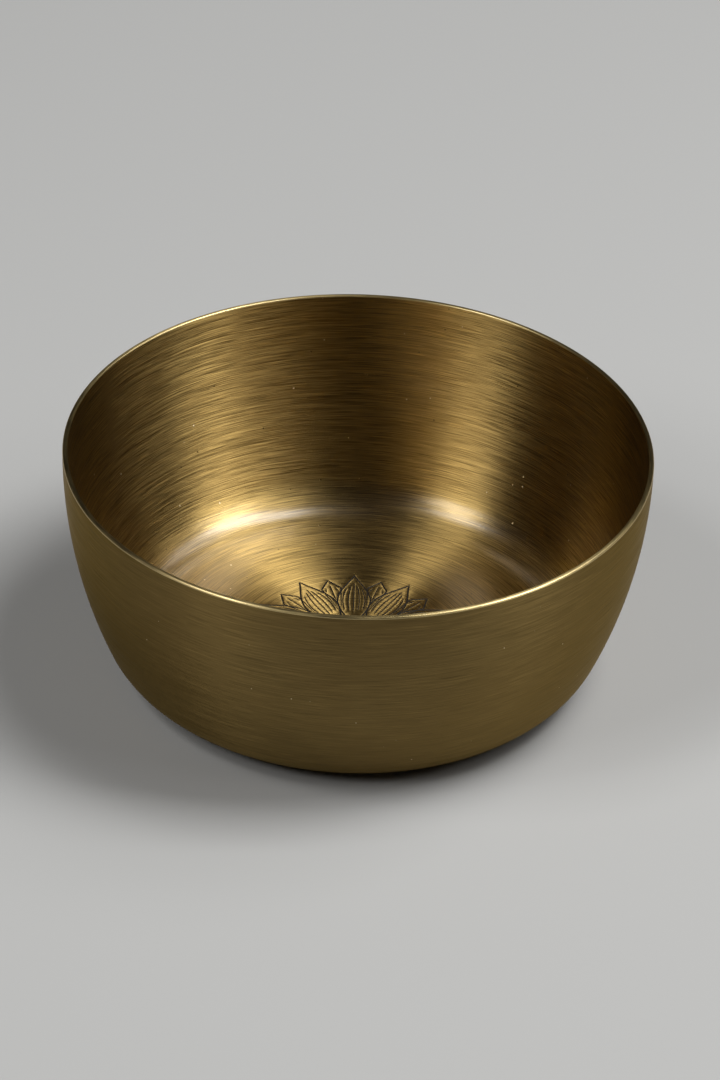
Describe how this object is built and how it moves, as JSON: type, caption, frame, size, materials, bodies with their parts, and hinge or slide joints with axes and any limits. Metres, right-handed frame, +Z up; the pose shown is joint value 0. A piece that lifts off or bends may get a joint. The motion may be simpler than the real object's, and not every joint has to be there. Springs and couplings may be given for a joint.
{
  "type": "katori bowl",
  "caption": "Small round spun-brass katori: flat standing ring, rounded corner, deep side rising upright to a plain thin rim, satin brushed inside and out.",
  "frame": {"origin": "centre of the flat ring that the bowl stands on, at the bottom of the bowl", "axes": "+Z up along the bowl's axis of revolution, towards its mouth; X and Y are any two square directions, because the bowl is round"},
  "size_m": [0.11, 0.11, 0.045],
  "materials": {
    "brass": "satin"
  },
  "bodies": {
    "root": {"bowl": "brass"}
  },
  "joints": []
}
